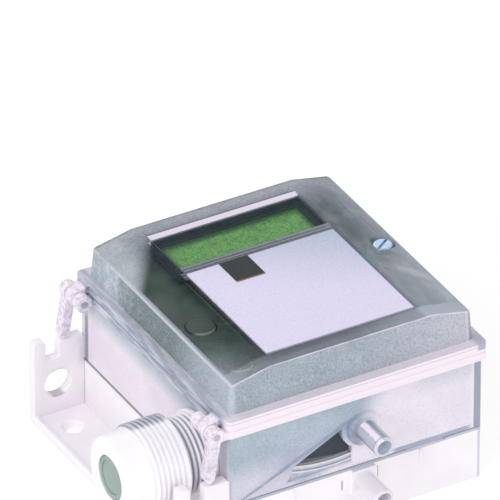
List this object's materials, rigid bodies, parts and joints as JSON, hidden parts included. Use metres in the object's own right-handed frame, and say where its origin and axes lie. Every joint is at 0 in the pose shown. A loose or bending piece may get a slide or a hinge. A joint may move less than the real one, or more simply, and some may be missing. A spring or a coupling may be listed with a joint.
{
  "type": "differential pressure transmitter",
  "caption": "Wall-mounted differential pressure transmitter with a hinged clear lid over a display, a side cable gland and stub hose nozzles",
  "frame": {"origin": "centre of the case's back face", "axes": "+X to the right of the display, +Y to the display's top, +Z out of the wall through the lid"},
  "size_m": [0.1075, 0.0968, 0.0558],
  "materials": {
    "frosted_clear": "translucent polycarbonate with a fine matt texture",
    "milky_clear": "whitish translucent polycarbonate",
    "clear": "polished clear polycarbonate",
    "white_plastic": "white moulded nylon",
    "black_plastic": "black moulded plastic",
    "panel_plastic": "dark green-grey textured panel",
    "display_green": "green reflective liquid crystal display",
    "label_film": "pale lilac printed film",
    "tag_film": "black printed film",
    "seal_rubber": "grey-green rubber",
    "black_rubber": "black rubber",
    "steel": "zinc-plated steel",
    "brass": "turned brass",
    "board_green": "circuit board with solder mask",
    "ceramic": "white ceramic",
    "terminal_plastic": "green terminal plastic"
  },
  "bodies": {
    "case": {"back_shell": "milky_clear", "side_bay": "milky_clear", "case_body": "frosted_clear", "sight_glass": "clear", "hinge_pins": "steel", "lid_gasket": "black_rubber", "screw_bush": "brass", "back_screws": "steel", "upper_nozzle": "clear", "lower_nozzle": "milky_clear", "nozzle_seals": "black_rubber", "capsule_lower": "white_plastic", "capsule_upper": "black_plastic", "diaphragm": "black_rubber", "diaphragm_plate": "steel", "tappet": "steel", "measuring_beam": "ceramic", "beam_clamp": "steel", "beam_screws": "steel", "capsule_screws": "steel", "sensor_pins": "steel", "circuit_board": "board_green", "board_screws": "steel", "board_components": "black_plastic", "terminal_block": "terminal_plastic", "terminal_clamps": "brass", "jumper_pins": "black_plastic", "range_jumper": "black_plastic", "board_header": "black_plastic", "display_spacers": "brass", "display_board": "board_green", "display_screws": "steel", "display_frame": "black_plastic", "light_guide": "white_plastic", "display_glass": "display_green", "front_panel": "panel_plastic", "key_switches": "black_plastic", "gland_body": "white_plastic", "gland_seal": "seal_rubber", "dust_disc": "seal_rubber", "clamp_ring": "white_plastic"},
    "lid": {"lid": "frosted_clear", "window_frame": "black_plastic", "display_window": "clear", "label_plate": "label_film", "label_tag": "tag_film"},
    "lid_screw": {"lid_screw": "steel", "screw_ring": "steel"},
    "gland_nut": {"gland_nut": "white_plastic"},
    "zero_key": {"zero_key": "panel_plastic"},
    "range_key": {"range_key": "panel_plastic"},
    "terminal_screw_1": {"terminal_screw_1": "steel"},
    "terminal_screw_2": {"terminal_screw_2": "steel"},
    "terminal_screw_3": {"terminal_screw_3": "steel"}
  },
  "joints": [
    {"name": "lid_hinge", "type": "hinge", "parent": "case", "child": "lid", "pos_m": [-0.0436, 0, 0.0405], "axis": [0, -1, 0], "range_deg": [0, 110]},
    {"name": "lid_screw_turn", "type": "hinge", "parent": "lid", "child": "lid_screw", "pos_m": [0.0327, 0.001, 0.045], "axis": [0, 0, 1], "continuous": true},
    {"name": "gland_nut_turn", "type": "hinge", "parent": "case", "child": "gland_nut", "pos_m": [-0.055, -0.025, 0.025], "axis": [-1, 0, 0], "continuous": true},
    {"name": "zero_key_travel", "type": "slide", "parent": "case", "child": "zero_key", "axis": [0, 0, -1], "range_m": [0, 0.0006], "stiffness_N_per_m": 600},
    {"name": "range_key_travel", "type": "slide", "parent": "case", "child": "range_key", "axis": [0, 0, -1], "range_m": [0, 0.0006], "stiffness_N_per_m": 600},
    {"name": "terminal_screw_1_turn", "type": "hinge", "parent": "case", "child": "terminal_screw_1", "pos_m": [-0.024, -0.02258, 0.042], "axis": [0, 0, 1], "continuous": true},
    {"name": "terminal_screw_2_turn", "type": "hinge", "parent": "case", "child": "terminal_screw_2", "pos_m": [-0.024, -0.0175, 0.042], "axis": [0, 0, 1], "continuous": true},
    {"name": "terminal_screw_3_turn", "type": "hinge", "parent": "case", "child": "terminal_screw_3", "pos_m": [-0.024, -0.01242, 0.042], "axis": [0, 0, 1], "continuous": true}
  ]
}
